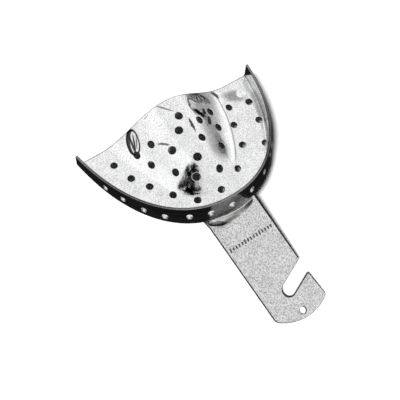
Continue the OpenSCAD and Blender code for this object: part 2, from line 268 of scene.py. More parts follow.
def grid_points(loops, rows, low, high, spacing):
    """A triangular grid over the metal, clear of every loop and row."""
    nx = int((high[0] - low[0]) / spacing) + 2
    ny = int((high[1] - low[1]) / (spacing * ROW_PITCH)) + 2
    lines = []
    for j in range(ny):
        xs = low[0] + (np.arange(nx) + (0.5 if j % 2 else 0)) * spacing
        lines.append(np.stack([xs, np.full(nx, low[1] + j * spacing * ROW_PITCH)], 1))
    grid = np.concatenate(lines)
    grid = grid[inside(grid, loops[0])]
    ok = np.ones(len(grid), bool)
    for k, other in enumerate(loops + rows):
        if not len(other):
            continue
        near = ((grid > other.min(0) - 1) & (grid < other.max(0) + 1)).all(1)
        idx = np.nonzero(near & ok)[0]
        if len(idx):
            ok[idx] &= far_from(grid[idx], other, spacing * GRID_GAP)
            if 0 < k < len(loops):
                ok[idx] &= ~inside(grid[idx], other)
    return grid[ok]


def flat_triangles(name, flat, constraints):
    """Triangles over the flat points, all the same way round, with the loops' segments as edges."""
    out = delaunay_2d_cdt([Vector(p) for p in flat], constraints, [], 0, 1e-5)
    if len(out[0]) != len(flat):
        raise SystemExit(f"{name}: the flat pattern's points merged: {len(flat)} to {len(out[0])}")
    order = np.array([source[0] for source in out[3]], int)
    tris = order[np.array([f for f in out[2] if len(f) == 3], int)]
    a = flat[tris]
    flip = np.cross(a[:, 1] - a[:, 0], a[:, 2] - a[:, 0]) < 0
    tris[flip] = tris[flip][:, ::-1]
    return tris


class Skin:
    """Vertices with the normals they should have, and faces with their material slot."""

    def __init__(self):
        self.points, self.normals, self.faces, self.slots = [], [], [], []
        self.count = 0

    def add(self, points, normals):
        """Adds vertices and gives their numbers."""
        self.points.append(points)
        self.normals.append(normals)
        self.count += len(points)
        return np.arange(self.count - len(points), self.count)

    def face(self, corners, slot=0):
        self.faces.append(tuple(int(v) for v in corners))
        self.slots.append(slot)

    def strip(self, before, after, slot=0):
        """Quads between two closed rows."""
        for i in range(len(before)):
            j = (i + 1) % len(before)
            self.face((before[j], before[i], after[i], after[j]), slot)

    def edge(self, surface, thick, loop_at, rounding, top, bottom, slot):
        """A rounded edge between the two faces; loop_at(grow) is its loop that far into the metal."""
        turns = [math.pi / 2 * i / EDGE_STEPS for i in range(1, EDGE_STEPS + 1)]
        profile = [(rounding * (1 - math.sin(a)), rounding * (1 - math.cos(a)), math.cos(a), math.sin(a))
                   for a in turns]
        rows = [(grow, thick - down, up, side) for grow, down, up, side in profile]
        rows += [(grow, down, -up, side) for grow, down, up, side in reversed(profile)]
        previous = top
        for grow, height, up, side in rows:
            loop, deeper = loop_at(grow), loop_at(grow + PROBE)
            base, normal = surface(*loop.T), surface_normal(surface, *loop.T)
            out = unit_rows(base - surface(*deeper.T))
            now = self.add(base + normal * height, normal * up + out * side)
            self.strip(previous, now, slot if side > SIDE_SHARE else 0)
            previous = now
        self.strip(previous, bottom)

    def pocket(self, surface, thick, loop, depth, rim, floor, slot):
        """A stamped recess in the upper face; floor holds its triangles as numbers along the loop."""
        into = -inward(loop, True)
        previous = rim
        for grow, share, up, side in POCKET_SIDE:
            ring = loop + into * grow
            base, normal = surface(*ring.T), surface_normal(surface, *ring.T)
            shift = unit_rows(surface(*(ring + into * PROBE).T) - base)
            now = self.add(base + normal * (thick - depth * share), normal * up + shift * side)
            self.strip(now, previous, slot)
            previous = now
        for t in floor:
            self.face(previous[t], slot)

    def mesh(self, name):
        """The mesh at its place, with each face turned to the side its corners' normals ask for."""
        points, normals = np.concatenate(self.points), unit_rows(np.concatenate(self.normals))
        used = sorted({v for f in self.faces for v in f})
        number = {v: i for i, v in enumerate(used)}
        mesh = bpy.data.meshes.new(name)
        mesh.from_pydata([Vector(p) * MM + ORIGIN for p in points[used]], [],
                         [tuple(number[v] for v in f) for f in self.faces])
        mesh.update()
        mesh.polygons.foreach_set("material_index", self.slots)
        normals = normals[used]
        bm = bmesh.new()
        bm.from_mesh(mesh)
        for f in bm.faces:
            f.normal_update()
            want = sum((Vector(normals[v.index]) for v in f.verts), Vector((0, 0, 0)))
            if f.normal.dot(want) < 0:
                f.normal_flip()
        bm.to_mesh(mesh)
        bm.free()
        mesh.shade_smooth()
        mesh.normals_split_custom_set_from_vertices([tuple(v) for v in normals])
        return mesh


POCKET_SLOT = 1         # material slot of the pockets, where a sheet has them


def sheet_mesh(name, surface, thick, outer, holes, pockets, edge, spacing, rings, edge_slot, hole_edge=0.2):
    """outer: loop of the true edge. holes: functions of growth that give a loop. pockets: (loop, depth).
    edge and hole_edge round the edges, rings are the distances of the rows that follow them, and
    edge_slot is the material slot of the outer edge."""
    outer_in = inward(outer, False)

    def outer_at(grow):
        return outer + outer_in * grow

    edges = [(outer_at, edge, edge_slot)] + [(hole, hole_edge, 0) for hole in holes]
    loops = [loop_at(rounding) for loop_at, rounding, _ in edges] + [loop for loop, _ in pockets]
    starts = [0]
    constraints = []
    for loop in loops:
        first, n = starts[-1], len(loop)
        constraints += [(first + i, first + (i + 1) % n) for i in range(n)]
        starts.append(first + n)
    growing = [lambda grow, at=loop_at, r=rounding: at(r + grow) for loop_at, rounding, _ in edges]
    rows = ring_rows(loops, growing, rings)
    grid = grid_points(loops, rows, outer.min(0), outer.max(0), spacing)
    flat = spaced(np.concatenate(loops + rows + [grid]), starts[-1], POINT_GAP)
    tris = flat_triangles(name, flat, constraints)

    centres = flat[tris].mean(1)
    metal = inside(centres, loops[0])
    for loop in loops[1:len(edges)]:
        metal &= ~inside(centres, loop)
    in_pocket = [inside(centres, loop) for loop, _ in pockets]
    skin = Skin()
    base, up = surface(*flat.T), surface_normal(surface, *flat.T)
    top, bottom = skin.add(base + up * thick, up), skin.add(base, -up)
    for t in tris[metal & ~np.any(in_pocket, axis=0)] if pockets else tris[metal]:
        skin.face(top[t])
    for t in tris[metal]:
        skin.face(bottom[t[::-1]])
    for k, (loop_at, rounding, slot) in enumerate(edges):
        rim = slice(starts[k], starts[k + 1])
        skin.edge(surface, thick, loop_at, rounding, top[rim], bottom[rim], slot)
    for k, (loop, depth) in enumerate(pockets):
        first, end = starts[len(edges) + k:len(edges) + k + 2]
        skin.pocket(surface, thick, loop, depth, top[first:end], tris[in_pocket[k]] - first, POCKET_SLOT)
    return link(name, skin.mesh(name))


# ---- shell loops
def plan_hole(x, y, radius, narrow=1.0, segments=28, step=0.05):
    """A hole that is round on the tilted sheet at a plan point, or narrower across, as a loop that grows."""
    slope_x = (palate(x + step, y) - palate(x - step, y)) / (2 * step)
    slope_y = (palate(x, y + step) - palate(x, y - step)) / (2 * step)
    normal = unit_rows(np.array([-slope_x, -slope_y, 1.0]))
    across = unit_rows(np.cross([0, 1, 0], normal))
    along = np.cross(normal, across)
    t = np.arange(segments) * 2 * np.pi / segments

    def loop(grow):
        r = radius + grow
        half = radius * narrow + grow
        p = half * np.cos(t)[:, None] * across + r * np.sin(t)[:, None] * along
        return np.stack([x + p[:, 0], y + p[:, 1]], 1)
    return loop


def wall_plan(a):
    """Plan point of the wall's outside at an angle of the arch."""
    s = np.abs(np.sin(a)) ** (2 / ARCH_POWER) * np.sign(a)
    return np.array([half_width(a) * s, CENTRE_Y - ARCH_DEPTH * np.cos(a) ** (2 / ARCH_POWER)])


def wall_hole(angle_deg, height, radius, segments=28, step=1e-3):
    """A round hole in the wall, as a loop of flat pattern points that grows."""
    t = np.arange(segments) * 2 * np.pi / segments
    middle = math.radians(angle_deg)
    speed = np.linalg.norm(wall_plan(middle + step) - wall_plan(middle - step)) / (2 * step)
    top = wall_height(wall_plan(middle)[1])

    def loop(grow):
        r = radius + grow
        share = (middle + r * np.cos(t) / speed) / back_angle(ARCH_DEPTH)
        foot = foot_height(share)
        up = (height + r * np.sin(t) - foot) / (top - foot)
        rho = 1 + (FOOT_LENGTH + up * WALL_LENGTH) * PATTERN_STEP
        return np.stack(pattern_point(rho, share * back_angle(FLOOR_DEPTH * rho)), 1)
    return loop


def rim_loop(n_rim=220, n_back=110):
    """The flat pattern's outline: the rim in even steps, and back along the straight edge."""
    limit = back_angle(FLOOR_DEPTH * PATTERN_RHO)
    a = np.linspace(-limit, limit, n_rim + 1)
    x, y = pattern_point(PATTERN_RHO, a)
    run = np.concatenate([[0], np.cumsum(np.hypot(np.diff(x), np.diff(y)))])
    x, y = pattern_point(PATTERN_RHO, np.interp(np.linspace(0, run[-1], n_rim + 1), run, a))
    y[0] = y[-1] = BACK_Y
    back_x = np.linspace(x[-1], x[0], n_back + 1)[1:-1]
    loop = np.stack([np.append(x, back_x), np.append(y, np.full(len(back_x), BACK_Y))], 1)
    loop[:, 1] = np.minimum(loop[:, 1], BACK_Y - BACK_TRIM)
    return loop


holes = [plan_hole(x, y, FLOOR_HOLE_R) for x, y in FLOOR_HOLES]
holes += [plan_hole(x, y, PALATE_HOLE_R, DRAWN_NARROW if x < DRAWN_BEFORE else 1.0)
          for x, y in PALATE_HOLES]
holes += [wall_hole(a, z, WALL_HOLE_R) for a, z in WALL_HOLES]
shell = sheet_mesh("shell_pressed_sheet", under_surface, SHEET, rim_loop(), holes, [],
                   edge=0.36, spacing=0.75, rings=(0.22, 0.55), edge_slot=1)

# ---- handle: flat pattern in the handle's own axes, x across and y towards the tray
HANDLE_SHIFT, HANDLE_WIDTH, HANDLE_LENGTH = 0.9, 20.4, 45.2
HANDLE_LEFT, HANDLE_RIGHT = HANDLE_SHIFT - HANDLE_WIDTH / 2, HANDLE_SHIFT + HANDLE_WIDTH / 2
TAB, FOLD_SETBACK = 6.5, 1.2
OUTER_FOLD = FOLD_RADIUS + PLATE
FOLD_REACH = OUTER_FOLD * math.tan(FOLD_ANGLE / 2)
FOLD_Y = CENTRE_Y - ARCH_DEPTH + FOLD_SETBACK
END_RADIUS, END_X = 18.0, 3.5
END_Y = END_RADIUS - HANDLE_LENGTH
LEFT_CORNER, RIGHT_CORNER, HOOK_FLARE = 2.8, 1.8, 0.9
SLOT_X, SLOT_Y, SLOT_R, SLOT_TURN = 1.5, -33.6, 2.65, 20.0
HANGING_HOLE = (1.4, -42.4, 1.35)      # x, y, radius
CORNER_ROUND, OUTLINE_STEP = 0.5, 0.6
HANDLE_TURN = np.array([[math.cos(TURN_ANGLE), -math.sin(TURN_ANGLE), 0],
                        [math.sin(TURN_ANGLE), math.cos(TURN_ANGLE), 0], [0, 0, 1]])


def arc(x, y, r, start, stop, n):
    t = np.radians(np.linspace(start, stop, n + 1))
    return np.stack([x + r * np.cos(t), y + r * np.sin(t)], 1)


def straight(a, b, gap=1000):
    """Points from a to b, about a gap apart; the two ends alone where the gap is larger."""
    n = max(1, round(math.hypot(b[0] - a[0], b[1] - a[1]) / gap))
    t = np.linspace(0, 1, n + 1)[:, None]
    return np.array(a) * (1 - t) + np.array(b) * t


def joined(*runs):
    """One closed loop from runs that meet end to end."""
    return without_doubles(np.concatenate([runs[0]] + [run[1:] for run in runs[1:]]))


def without_doubles(loop, gap=0.03):
    """A closed loop with every point at least a small step from the one before."""
    kept = [loop[0]]
    for p in loop[1:]:
        if np.linalg.norm(p - kept[-1]) > gap:
            kept.append(p)
    while np.linalg.norm(kept[-1] - kept[0]) < gap:
        kept.pop()
    return np.array(kept)


def rounded(loop, radius, sharp=25, steps=6):
    """Rounds each corner that turns by more than `sharp` degrees with a circular arc."""
    out = []
    for i, corner in enumerate(loop):
        a, b = corner - loop[i - 1], loop[(i + 1) % len(loop)] - corner
        turn = math.atan2(a[0] * b[1] - a[1] * b[0], a @ b)
        if abs(turn) < math.radians(sharp):
            out.append(corner)
            continue
        tangent = math.tan(abs(turn) / 2)
        cut = min(radius * tangent, 0.49 * np.linalg.norm(a), 0.49 * np.linalg.norm(b))
        a = a / np.linalg.norm(a)
        side = np.array([-a[1], a[0]]) * math.copysign(1, turn)
        arm = -side * cut / tangent
        centre = corner - a * cut - arm
        for t in np.linspace(0, turn, steps + 1):
            s, c = math.sin(t), math.cos(t)
            out.append(centre + np.array([arm[0] * c - arm[1] * s, arm[0] * s + arm[1] * c]))
    return without_doubles(np.array(out))


def divided(loop, gap):
    """A loop with its long segments cut into equal steps."""
    runs = [straight(loop[i], loop[(i + 1) % len(loop)], gap)[:-1] for i in range(len(loop))]
    return np.concatenate(runs)


def end_corner(x, r):
    """Centre of a corner rounding that touches the arc of the end, and the direction of that point."""
    y = END_Y - math.sqrt((END_RADIUS - r) ** 2 - (x - END_X) ** 2)
    return x, y, 360 + math.degrees(math.atan2(y - END_Y, x - END_X))


def handle_outline():
    top = TAB - 2 * FOLD_REACH + OUTER_FOLD * FOLD_ANGLE
    lx, ly, left_turn = end_corner(HANDLE_LEFT + LEFT_CORNER, LEFT_CORNER)
    rx, ry, right_turn = end_corner(HANDLE_RIGHT + HOOK_FLARE - RIGHT_CORNER, RIGHT_CORNER)
    way_out = np.array([math.cos(math.radians(SLOT_TURN)), math.sin(math.radians(SLOT_TURN))])
    slot = arc(SLOT_X, SLOT_Y, SLOT_R, 270 + SLOT_TURN, 90 + SLOT_TURN, 20)
    hook_tip, mouth = [p + way_out * ((HANDLE_RIGHT - p[0]) / way_out[0]) for p in (slot[0], slot[-1])]
    loop = joined(
        straight((HANDLE_LEFT, top), (HANDLE_LEFT, ly)),
        arc(lx, ly, LEFT_CORNER, 180, left_turn, 10),
        arc(END_X, END_Y, END_RADIUS, left_turn, right_turn, 36),
        arc(rx, ry, RIGHT_CORNER, right_turn, 360, 8),
        straight((HANDLE_RIGHT + HOOK_FLARE, ry), hook_tip),
        straight(hook_tip, slot[0]),
        slot,
        straight(slot[-1], mouth),
        straight(mouth, (HANDLE_RIGHT, top)),
        straight((HANDLE_RIGHT, top), (HANDLE_LEFT, top)))
    return divided(rounded(loop, CORNER_ROUND), OUTLINE_STEP)


def handle_under(x, y):
    """Underside of the handle over its flat pattern, where y = -FOLD_REACH is the far end of the fold."""
    along = -FOLD_REACH - y
    arc_length = OUTER_FOLD * FOLD_ANGLE
    past, tab = np.maximum(0, along), np.maximum(0, -(along + arc_length))
    bent = np.clip((along + arc_length) / OUTER_FOLD, 0, FOLD_ANGLE)
    py = -FOLD_RADIUS * np.sin(bent) - past * math.cos(FOLD_ANGLE) + tab
    pz = -OUTER_FOLD + FOLD_RADIUS * np.cos(bent) - past * math.sin(FOLD_ANGLE)
    return np.stack([x, py, pz], -1) @ HANDLE_TURN.T + np.array([0, FOLD_Y, 0])


def round_hole(x, y, radius, segments=40):
    t = np.arange(segments) * 2 * np.pi / segments
    return lambda grow: np.stack([x + (radius + grow) * np.cos(t), y + (radius + grow) * np.sin(t)], 1)


# a plain row of even tally strokes where a stamp would be, each fifth one longer
STROKES, STROKE_PITCH, STROKE_FALL = 15, 1.25, 0.087
STROKE_START, STROKE_WIDTH, STROKE_DEPTH = (-7.9, -10.6), 0.6, 0.14
SHORT_STROKE, LONG_STROKE, STROKE_LEAN = 1.25, 1.7, math.radians(-8)


def stroke(i):
    """A short stamped stroke: a thin slanted bar with rounded ends."""
    x, y = STROKE_START[0] + i * STROKE_PITCH, STROKE_START[1] - i * STROKE_FALL
    w, h = STROKE_WIDTH / 2, (SHORT_STROKE if i % 5 else LONG_STROKE) / 2
    corners = np.array([(-w, -h), (w, -h), (w, h), (-w, h)])
    loop = divided(rounded(corners, STROKE_WIDTH * 0.4, steps=2), 0.25)
    s, c = math.sin(STROKE_LEAN), math.cos(STROKE_LEAN)
    return np.stack([x + loop[:, 0] * c - loop[:, 1] * s, y + loop[:, 0] * s + loop[:, 1] * c], 1)


strokes = [(stroke(i), STROKE_DEPTH) for i in range(STROKES)]
handle = sheet_mesh("handle_stamped_plate", handle_under, PLATE, handle_outline(),
                    [round_hole(*HANGING_HOLE)], strokes,
                    edge=0.28, spacing=0.8, rings=(0.25, 0.6), edge_slot=2)

# ---- solder bead: a smooth roll along the foot of the front wall, a little uneven as it flowed
random.seed(11)
BEAD_START, BEAD_END = math.radians(-12.1), math.radians(13.4)
BEAD_REACH, BEAD_RISE, RIGHT_RISE = 2.05, 2.2, 1.0
LEFT_FULLNESS, RIGHT_FULLNESS, THINNEST = 5, 2.4, 0.02     # how bluntly each end closes
RAMP_RATE = 1.6         # the roll has become a ramp after 1 / 1.6 of its length
SINK, FACE_SINK = 0.05, 0.08       # how far the bead goes into the metal behind it and in front
ALONG, ROUND = 120, 36
FACE_END, FOOT_END = 0.5, 0.8     # shares of a section's points up to the end of the face and of the foot
waves = [(random.uniform(2, 9), random.uniform(0, 6.28), random.uniform(0.02, 0.06)) for _ in range(5)]


def wobble(t, shift=0.0):
    return sum(w * math.sin(f * math.pi * t + p + shift) for f, p, w in waves)


def plate_top(x, y):
    """Height of the handle's upper face under a tray point."""
    behind = (y - FOLD_Y) * math.cos(TURN_ANGLE) - x * math.sin(TURN_ANGLE)
    fold_end = -OUTER_FOLD * math.sin(FOLD_ANGLE)
    if behind >= 0:
        return 0.0
    if behind > fold_end:
        return -OUTER_FOLD + math.sqrt(OUTER_FOLD ** 2 - behind ** 2)
    return -OUTER_FOLD * (1 - math.cos(FOLD_ANGLE)) + (behind - fold_end) * math.tan(FOLD_ANGLE)


# the free face of the bead from the plate to the wall, as shares of its reach and rise, at its two ends
FULL_FACE = ((1, 0), (0.97, 0.12), (0.9, 0.28), (0.78, 0.44),
             (0.55, 0.6), (0.3, 0.76), (0.1, 0.9), (0, 1))
RAMP_FACE = ((1, 0), (0.86, 0.06), (0.72, 0.18), (0.58, 0.33),
             (0.44, 0.49), (0.3, 0.66), (0.15, 0.83), (0, 1))


def bead_face(t, ramp):
    steps = np.linspace(0, 1, len(FULL_FACE))
    face = np.array(FULL_FACE) * (1 - ramp) + np.array(RAMP_FACE) * ramp
    return float(np.interp(t, steps, face[:, 0])), float(np.interp(t, steps, face[:, 1]))


def bead_point(share, reach, rise, base, ramp):
    """Distance out from the wall and height of a point of the section, a share of the way round it."""
    if share < FACE_END:      # the free face, from the plate up to the wall
        out, up = bead_face(share / FACE_END, ramp)
        return out * reach, base + (rise - base) * up
    if share < FOOT_END:      # back under the shell's foot, just inside it
        psi = math.radians(90 - 60 * (share - FACE_END) / (FOOT_END - FACE_END))
        return FOOT_RADIUS * (math.sin(psi) - 1) - SINK, min(rise, FOOT_RADIUS * (1 - math.cos(psi)) + SINK)
    f = (share - FOOT_END) / (1 - FOOT_END)      # along the plate, just inside it
    return -FOOT_RADIUS / 2 * (1 - f) + reach * f, min(-2 * SINK, base) * f - 2 * SINK * (1 - f)


def bead_section(t):
    """One ring of the bead, a share t of the way along it."""
    a = BEAD_START + (BEAD_END - BEAD_START) * t
    p = wall_plan(a)
    d = unit_rows(wall_plan(a + 1e-3) - p)
    out = np.array([d[1], -d[0]])
    end = 2 * t - 1
    size = max(THINNEST, math.sqrt(max(0.0, 1 - abs(end) ** (LEFT_FULLNESS if end < 0 else RIGHT_FULLNESS))))
    ramp = min(1.0, RAMP_RATE * t)
    ramp = ramp ** 2 * (3 - 2 * ramp)
    reach = (BEAD_REACH + wobble(t)) * size
    rise = (BEAD_RISE + (RIGHT_RISE - BEAD_RISE) * ramp + wobble(t, 1.3)) * size
    base = plate_top(*(p + out * reach)) - FACE_SINK
    ring = []
    for k in range(ROUND):
        away, z = bead_point(k / ROUND, reach, rise, base, ramp)
        ring.append((*(p + out * away), z))
    return ring


def bead_mesh(name):
    co = np.array([bead_section(i / ALONG) for i in range(ALONG + 1)]).reshape(-1, 3)
    faces = []
    for i in range(ALONG):
        for k in range(ROUND):
            a, b = i * ROUND + k, i * ROUND + (k + 1) % ROUND
            faces.append((a, b, b + ROUND, a + ROUND))
    faces.append(tuple(range(ROUND))[::-1])
    faces.append(tuple(ALONG * ROUND + k for k in range(ROUND)))
    mesh = bpy.data.meshes.new(name)
    mesh.from_pydata([Vector(p) * MM + ORIGIN for p in co], [], faces)
    mesh.update()
    bm = bmesh.new()
    bm.from_mesh(mesh)
    bmesh.ops.recalc_face_normals(bm, faces=bm.faces)
    bm.to_mesh(mesh)
    bm.free()
    mesh.shade_smooth()
    return link(name, mesh)


bead = bead_mesh("solder_bead_roll")


# ---- materials
def new_material(name):
    mat = bpy.data.materials.new(name)
    mat.use_nodes = True
    tree = mat.node_tree
    tree.nodes.clear()
    out = tree.nodes.new("ShaderNodeOutputMaterial")
    bsdf = tree.nodes.new("ShaderNodeBsdfPrincipled")
    tree.links.new(bsdf.outputs[0], out.inputs[0])
    coord = tree.nodes.new("ShaderNodeTexCoord")
    return mat, tree, bsdf, coord.outputs["Object"]


def noise(tree, vector, scale, detail=4.0, rough=0.55, stretch=None, warp=0.0):
    if stretch:
        mapping = tree.nodes.new("ShaderNodeMapping")
        mapping.inputs["Scale"].default_value = stretch
        tree.links.new(vector, mapping.inputs["Vector"])
        vector = mapping.outputs[0]
    n = tree.nodes.new("ShaderNodeTexNoise")
    n.inputs["Scale"].default_value = scale
    n.inputs["Detail"].default_value = detail
    n.inputs["Roughness"].default_value = rough
    n.inputs["Distortion"].default_value = warp
    tree.links.new(vector, n.inputs["Vector"])
    return n.outputs["Fac"]


def calc(tree, op, *values):
    m = tree.nodes.new("ShaderNodeMath")
    m.operation = op
    for i, v in enumerate(values):
        if isinstance(v, (int, float)):
            m.inputs[i].default_value = v
        else:
            tree.links.new(v, m.inputs[i])
    return m.outputs[0]


def between(tree, value, a, b, lo, hi):
    """lo where value is a, hi where it is b, with soft ends."""
    m = tree.nodes.new("ShaderNodeMapRange")
    m.interpolation_type = "SMOOTHSTEP"
    if a > b:
        a, b, lo, hi = b, a, hi, lo
    m.inputs["From Min"].default_value = a
    m.inputs["From Max"].default_value = b
    m.inputs["To Min"].default_value = lo
    m.inputs["To Max"].default_value = hi
    tree.links.new(value, m.inputs["Value"])
    return m.outputs[0]


def tinted(tree, shade, tint):
    """A grey shade times a tint."""
    mix = tree.nodes.new("ShaderNodeMix")
    mix.data_type = "RGBA"
    mix.blend_type = "MULTIPLY"
    mix.inputs[0].default_value = 1.0
    tree.links.new(shade, mix.inputs[6])
    mix.inputs[7].default_value = (*tint, 1)
    return mix.outputs[2]


def bump(tree, height, strength, distance, under=None):
    b = tree.nodes.new("ShaderNodeBump")
    b.inputs["Strength"].default_value = strength
    b.inputs["Distance"].default_value = distance
    tree.links.new(height, b.inputs["Height"])
    if under is not None:
        tree.links.new(under, b.inputs["Normal"])
    return b.outputs[0]


def oval(tree, at, x, y, long, wide, angle, warp=0.0, warp_scale=400.0):
    """Distance from a plan point of the tray, 1 on an oval of these half sizes turned by an angle."""
    if warp:
        n = tree.nodes.new("ShaderNodeTexNoise")
        n.inputs["Scale"].default_value = warp_scale
        n.inputs["Detail"].default_value = 2.0
        tree.links.new(at, n.inputs["Vector"])
        shift = tree.nodes.new("ShaderNodeVectorMath")
        shift.operation = "MULTIPLY_ADD"
        tree.links.new(n.outputs["Color"], shift.inputs[0])
        shift.inputs[1].default_value = (warp * MM,) * 3
        tree.links.new(at, shift.inputs[2])
        at = shift.outputs[0]
    mapping = tree.nodes.new("ShaderNodeMapping")
    mapping.vector_type = "TEXTURE"
    centre = ORIGIN + Vector((x, y, 0)) * MM
    half = warp * MM / 2
    mapping.inputs["Location"].default_value = (centre.x + half, centre.y + half, 0)
    mapping.inputs["Rotation"].default_value = (0, 0, math.radians(angle))
    mapping.inputs["Scale"].default_value = (long * MM, wide * MM, 1000)
    tree.links.new(at, mapping.inputs["Vector"])
    length = tree.nodes.new("ShaderNodeVectorMath")
    length.operation = "LENGTH"
    tree.links.new(mapping.outputs[0], length.inputs[0])
    return length.outputs["Value"]


def metal(name, tint, rough, grain, grain_scale, waviness, marks=None):
    """Bare metal: speckled grain, uneven polish, soft waves and hairline scratches, and its own marks, most
    of them painted shade and highlights.
    """
    mat, tree, bsdf, at = new_material(name)
    fine = noise(tree, at, grain_scale, 3, 0.75)
    cloud = noise(tree, at, 260, 4, 0.6)
    swell = noise(tree, at, 110, 2, 0.4)
    lines_a = noise(tree, at, 900, 3, 0.65, (1, 0.05, 0.4))
    lines_b = noise(tree, at, 1100, 2, 0.6, (0.06, 1, 0.4))
    shade = between(tree, fine, 0.34, 0.6, 1 - grain, 1.0)
    shade = calc(tree, "MULTIPLY", shade, between(tree, cloud, 0.3, 0.7, 0.9, 1.03))
    height = calc(tree, "MULTIPLY", swell, waviness)
    if marks:
        shade, height = marks(tree, at, shade, height)
    tree.links.new(tinted(tree, shade, tint), bsdf.inputs["Base Color"])
    bsdf.inputs["Metallic"].default_value = 1.0
    uneven = calc(tree, "MULTIPLY", calc(tree, "ADD", cloud, fine), 0.5)
    tree.links.new(between(tree, uneven, 0.35, 0.65, *rough), bsdf.inputs["Roughness"])
    normal = bump(tree, height, 1.0, 0.001)
    normal = bump(tree, calc(tree, "ADD", lines_a, lines_b), 0.25, 0.00002, normal)
    normal = bump(tree, fine, 0.2, 0.00003, normal)
    tree.links.new(normal, bsdf.inputs["Normal"])
    return mat


def both(tree, *values):
    """The product of values, each a number or a socket."""
    out = values[0]
    for value in values[1:]:
        out = calc(tree, "MULTIPLY", out, value)
    return out


def darkened(tree, shade, *amounts):
    """The shade with the product of these amounts taken off it."""
    return calc(tree, "MULTIPLY", shade, calc(tree, "SUBTRACT", 1.0, both(tree, *amounts)))


def dash(tree, at, start, end, width, warp=0.0, warp_scale=400.0):
    """1 along a short line between two places on the tray in plan, 0 off it, pointed at both ends."""
    dx, dy = end[0] - start[0], end[1] - start[1]
    r = oval(tree, at, (start[0] + end[0]) / 2, (start[1] + end[1]) / 2, math.hypot(dx, dy) / 2, width / 2,
             math.degrees(math.atan2(dy, dx)), warp, warp_scale)
    return between(tree, r, 0.75, 1.15, 1.0, 0.0)


def dashed(tree, at, shade, rows, warp, warp_scale=400.0):
    """Draws dark dashes, each as (start, end, width, depth)."""
    for start, end, width, depth in rows:
        shade = darkened(tree, shade, dash(tree, at, start, end, width, warp, warp_scale), depth)
    return shade


def band(tree, value, middle, half):
    """1 where the value is within half of the middle, with soft ends."""
    off = calc(tree, "ABSOLUTE", calc(tree, "SUBTRACT", value, middle))
    return between(tree, off, half * 0.6, half, 1.0, 0.0)


def raised(tree, height, *amounts):
    return calc(tree, "ADD", height, both(tree, *amounts))


# ---- marks of the shell, each at its place in tray millimetres; most are painted shade and highlights in the colour
# dashes drawn dark in the colour, most of them painted shade lines; each row is start, end, width and depth
PRESS_CREASE_SHADE = (((-17.0, 13.0), (-15.6, 20.0), 0.8, 0.92), ((-16.7, 13.2), (-14.4, 19.4), 0.65, 0.92),
                 ((-15.9, 14.0), (-13.9, 17.6), 0.4, 0.92))
WRINKLE_SHADE_LINES = (((9.2, 20.8), (7.3, 15.6), 0.75, 0.84), ((4.6, 12.8), (4.2, 6.6), 1.125, 0.896),
                 ((8.9, 20.2), (12.4, 17.4), 0.875, 0.784), ((7.6, 16.8), (8.6, 12.6), 0.75, 0.672),
                 ((8.4, 15.8), (11.4, 11.8), 1.875, 1.0), ((13.0, 12.2), (11.3, 8.6), 1.625, 0.896),
                 ((12.9, 15.4), (11.6, 12.6), 1.125, 0.952))
CREASE_SHADE_AND_SCUFF = (((-3.4, 21.4), (0.7, 16.9), 0.7, 0.65), ((-9.6, 10.7), (-6.2, 7.7), 0.8, 0.8),
                 ((20.3, 22.2), (22.0, 18.6), 1.7, 0.85), ((-6.9, 20.9), (-9.4, 20.2), 0.5, 0.5))
BEAD_SHADE_DASHES = (((-9.4, -23.2), (-3.2, -25.0), 1.7, 0.75), ((-5.5, -24.6), (3.5, -24.8), 1.3, 0.5))


def press_mark(tree, at, shade, height):
    """A dished mark, left rear: a sharp ridge round it, thick at its upper left, and creases inside. The
    ridge is raised a little as a bump; the ridge, its crescent and the creases are painted shade in the
    colour.
    """
    r = oval(tree, at, -15.8, 16.8, 4.6, 2.15, 76, 0.4)
    inner = oval(tree, at, -14.7, 15.9, 4.5, 2.3, 72)
    ring = band(tree, r, 0.93, 0.12)
    crescent = both(tree, between(tree, r, 0.9, 1.0, 1.0, 0.0), between(tree, inner, 0.95, 1.05, 0.0, 1.0))
    # painted shade on the ridge and on the crescent inside it
    shade = darkened(tree, shade, ring, 0.93)
    shade = darkened(tree, shade, crescent, 0.93)
    return dashed(tree, at, shade, PRESS_CREASE_SHADE, 0.5), raised(tree, height, ring, 0.04)


def cloudy(tree, at):
    return between(tree, noise(tree, at, 520, 4, 0.65), 0.38, 0.58, 1.0, 0.45)


def wrinkles(tree, at, shade, height):
    """Folds where the sheet was drawn down behind the palate, right rear: raised as bumps, with painted
    shade over the area and along the folds.
    """
    region = between(tree, oval(tree, at, 12.6, 19.6, 4.8, 2.3, 160, 1.4, 300), 0.6, 1.15, 1.0, 0.0)
    swirls = between(tree, oval(tree, at, 10.9, 13.2, 3.0, 1.7, 110, 1.6, 420), 0.7, 1.2, 1.0, 0.0)
    folds = noise(tree, at, 420, 2, 0.5, (1.3, 0.7, 0.3), 2.4)
    off = calc(tree, "ABSOLUTE", calc(tree, "SUBTRACT", folds, 0.5))
    line = between(tree, off, 0.0, 0.06, 1.0, 0.0)
    # painted shade over the wrinkled area and along its folds
    shade = darkened(tree, shade, region, cloudy(tree, at), 0.6)
    shade = darkened(tree, shade, line, swirls, 0.9)
    shade = darkened(tree, shade, line, region, 0.45)
    return dashed(tree, at, shade, WRINKLE_SHADE_LINES, 1.3, 700.0), raised(tree, height, folds, region, 0.25)


def flank_shade_strip(tree, at, shade, height):
    """A strip of painted shade down the right flank."""
    strip = between(tree, oval(tree, at, 11.4, 7.2, 10.5, 1.75, 92, 1.0, 300), 0.55, 1.1, 0.42, 0.0)
    return darkened(tree, shade, strip, cloudy(tree, at)), height


